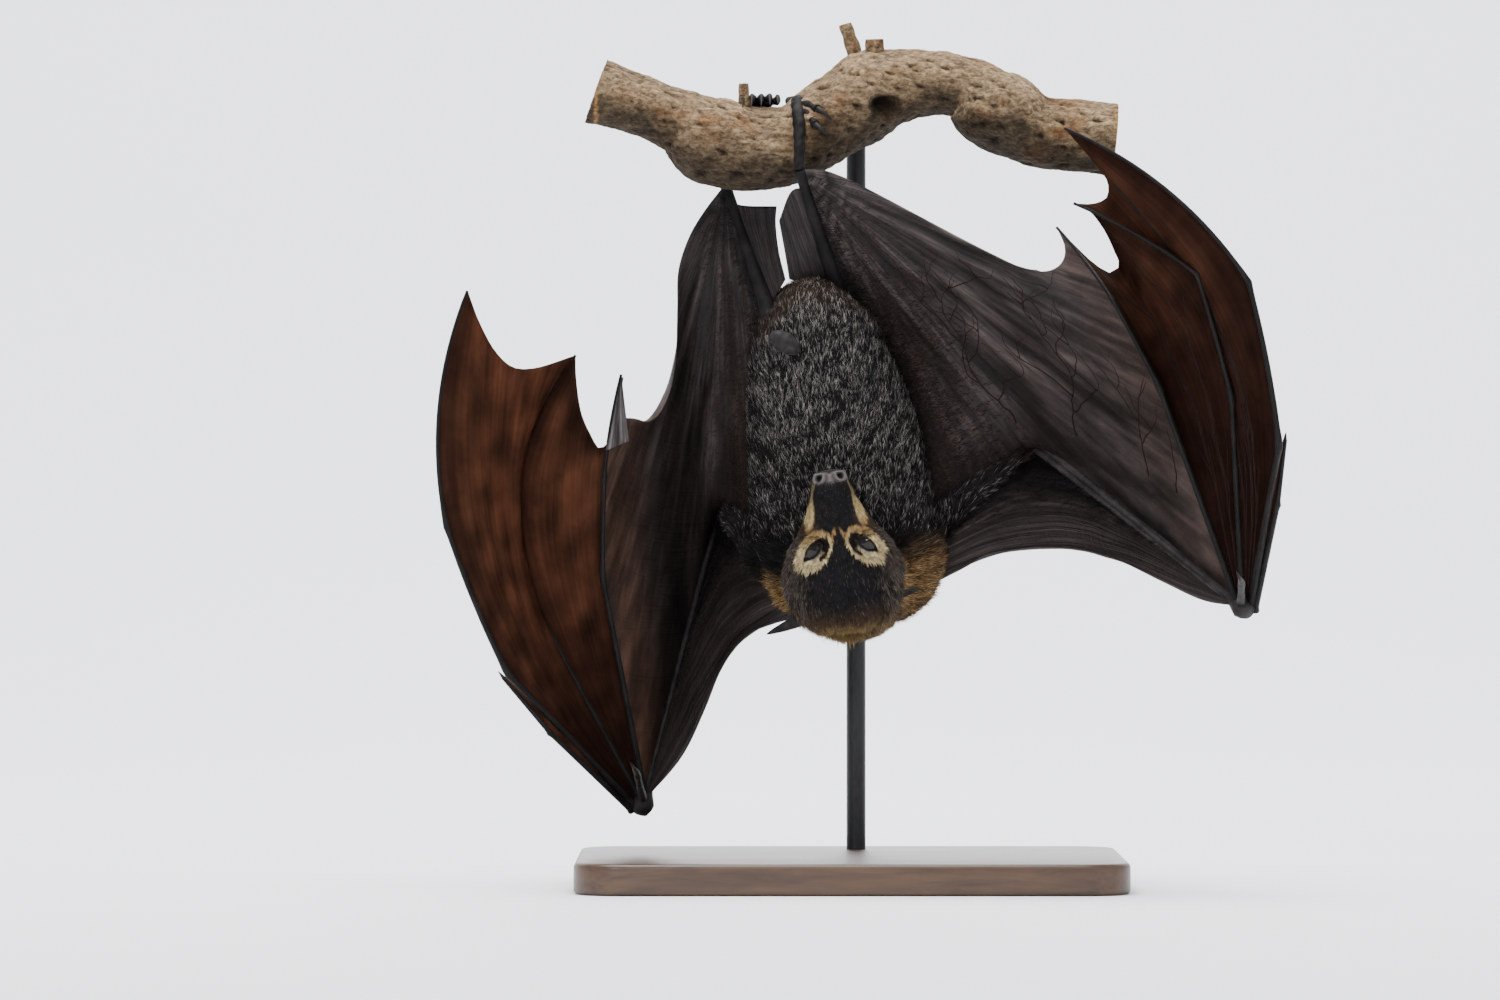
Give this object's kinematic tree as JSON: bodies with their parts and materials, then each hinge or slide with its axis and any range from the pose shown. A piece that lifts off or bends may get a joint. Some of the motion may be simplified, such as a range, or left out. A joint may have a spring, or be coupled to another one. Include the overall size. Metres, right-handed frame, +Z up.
{
  "type": "fruit bat",
  "caption": "Life-size fruit bat hanging by its feet from a cut length of branch on a display stand, wings half open, snout bent up over its chest.",
  "frame": {"origin": "centre of the underside of the stand's base", "axes": "+Z up; -Y the side that the belly faces, so the front of the stand; +X along the branch towards the animal's left wing"},
  "size_m": [0.4245, 0.2644, 0.443],
  "materials": {
    "fur": "dense matt black fur, frosted grey on the belly",
    "mantle": "golden fur",
    "bare_skin": "dark bare skin with a dull sheen",
    "wing_skin": "thin wrinkled grey-brown skin",
    "hand_skin": "thin reddish-brown skin that lets light through",
    "claw": "dark polished horn",
    "eye": "wet and dark brown",
    "bark": "rough grey-tan bark",
    "wood": "dark satin",
    "steel": "black satin paint"
  },
  "bodies": {
    "root": {"stand_rod": "steel", "stand_arm": "steel", "stand_base": "wood", "perch": "bark", "thigh_left": "fur", "thigh_right": "fur", "belly": "fur", "chest": "fur", "eye_left": "eye", "eye_right": "eye", "jaw": "fur", "head": "fur", "neck": "mantle", "ear_left": "bare_skin", "ear_right": "bare_skin", "sheath": "bare_skin", "shin_left": "bare_skin", "foot_left": "bare_skin", "claw_left_1": "claw", "claw_left_2": "claw", "claw_left_3": "claw", "claw_left_4": "claw", "claw_left_5": "claw", "shin_right": "bare_skin", "foot_right": "bare_skin", "claw_right_1": "claw", "claw_right_2": "claw", "claw_right_3": "claw", "claw_right_4": "claw", "claw_right_5": "claw", "upper_arm_left": "fur", "forearm_left": "bare_skin", "digit3_left": "bare_skin", "digit5_left": "bare_skin", "digit4_left": "bare_skin", "digit2_left": "bare_skin", "thumb_left": "bare_skin", "thumb_claw_left": "claw", "wing_skin_left": "wing_skin", "web_4_5_left": "hand_skin", "web_3_4_left": "hand_skin", "fore_skin_left": "wing_skin", "tail_skin_left": "wing_skin", "upper_arm_right": "fur", "forearm_right": "bare_skin", "digit3_right": "bare_skin", "digit5_right": "bare_skin", "digit4_right": "bare_skin", "digit2_right": "bare_skin", "thumb_right": "bare_skin", "thumb_claw_right": "claw", "wing_skin_right": "wing_skin", "web_4_5_right": "hand_skin", "web_3_4_right": "hand_skin", "fore_skin_right": "wing_skin", "tail_skin_right": "wing_skin"}
  },
  "joints": []
}
